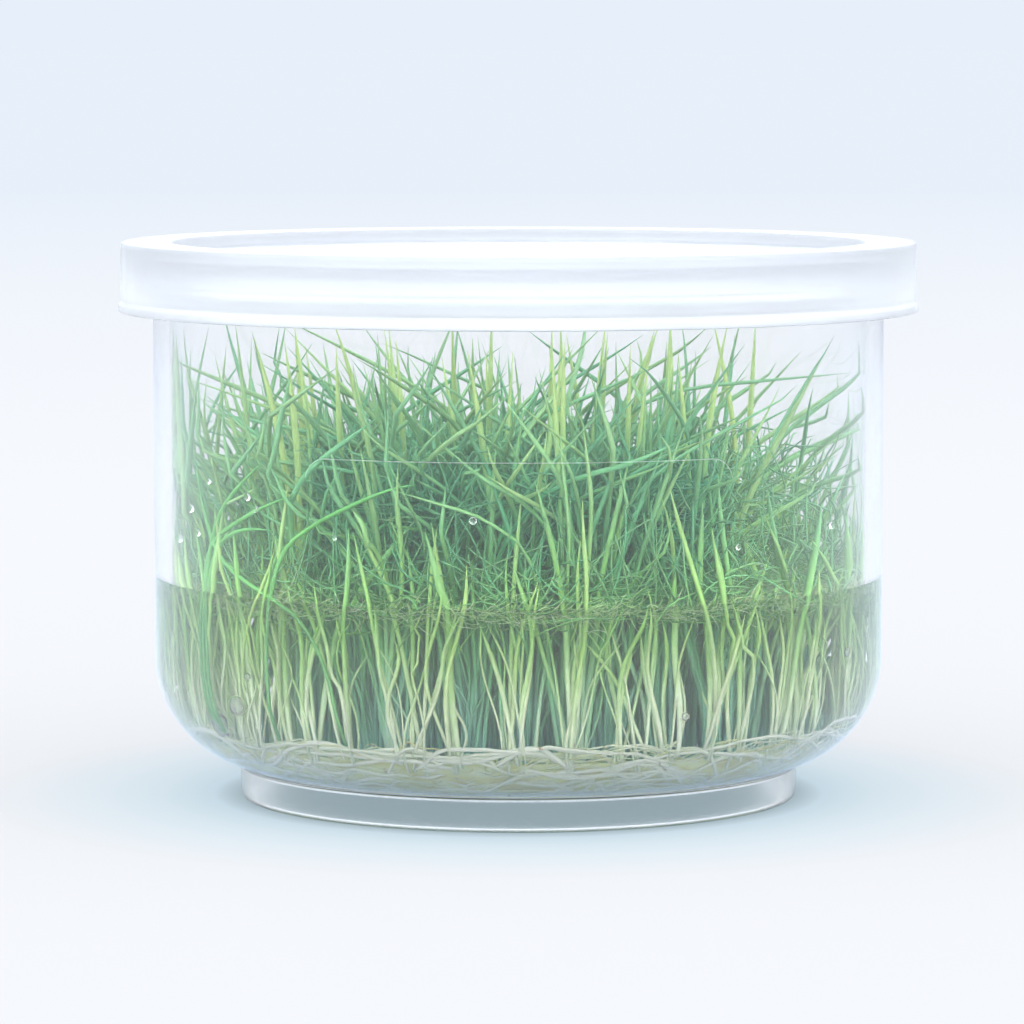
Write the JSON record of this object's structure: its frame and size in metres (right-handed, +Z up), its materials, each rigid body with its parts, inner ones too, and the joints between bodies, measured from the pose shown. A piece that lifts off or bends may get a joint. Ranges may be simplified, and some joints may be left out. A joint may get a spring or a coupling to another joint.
{
  "type": "dwarf hairgrass in a culture jar",
  "caption": "Dwarf hairgrass tufts on creeping runners, rooted in clear culture gel inside a round clear plastic cup with a milky push-on lid, a foot ring and a bare clear label.",
  "frame": {"origin": "centre of the foot ring's underside, on the surface that the cup stands on", "axes": "+Z up along the cup's axis, -Y towards the label on the front"},
  "size_m": [0.0876, 0.0876, 0.0608],
  "materials": {
    "clear_plastic": "clear gloss",
    "milky_plastic": "milky satin",
    "clear_film": "clear satin",
    "clear_gel": "clear wet gloss",
    "roots": "matte fibrous",
    "runners": "waxy",
    "grass": "waxy satin"
  },
  "bodies": {
    "root": {"cup": "clear_plastic", "lid": "milky_plastic", "label": "clear_film", "culture_gel": "clear_gel", "root_mat": "roots", "runner_1": "runners", "runner_2": "runners", "runner_3": "runners", "runner_4": "runners", "runner_5": "runners", "runner_6": "runners", "runner_7": "runners", "runner_8": "runners", "tuft_01": "grass", "tuft_02": "grass", "tuft_03": "grass", "tuft_04": "grass", "tuft_05": "grass", "tuft_06": "grass", "tuft_07": "grass", "tuft_08": "grass", "tuft_09": "grass", "tuft_10": "grass", "tuft_11": "grass", "tuft_12": "grass", "tuft_13": "grass", "tuft_14": "grass", "tuft_15": "grass", "tuft_16": "grass", "tuft_17": "grass", "tuft_18": "grass", "tuft_19": "grass", "tuft_20": "grass", "tuft_21": "grass", "tuft_22": "grass", "tuft_23": "grass", "tuft_24": "grass"}
  },
  "joints": []
}
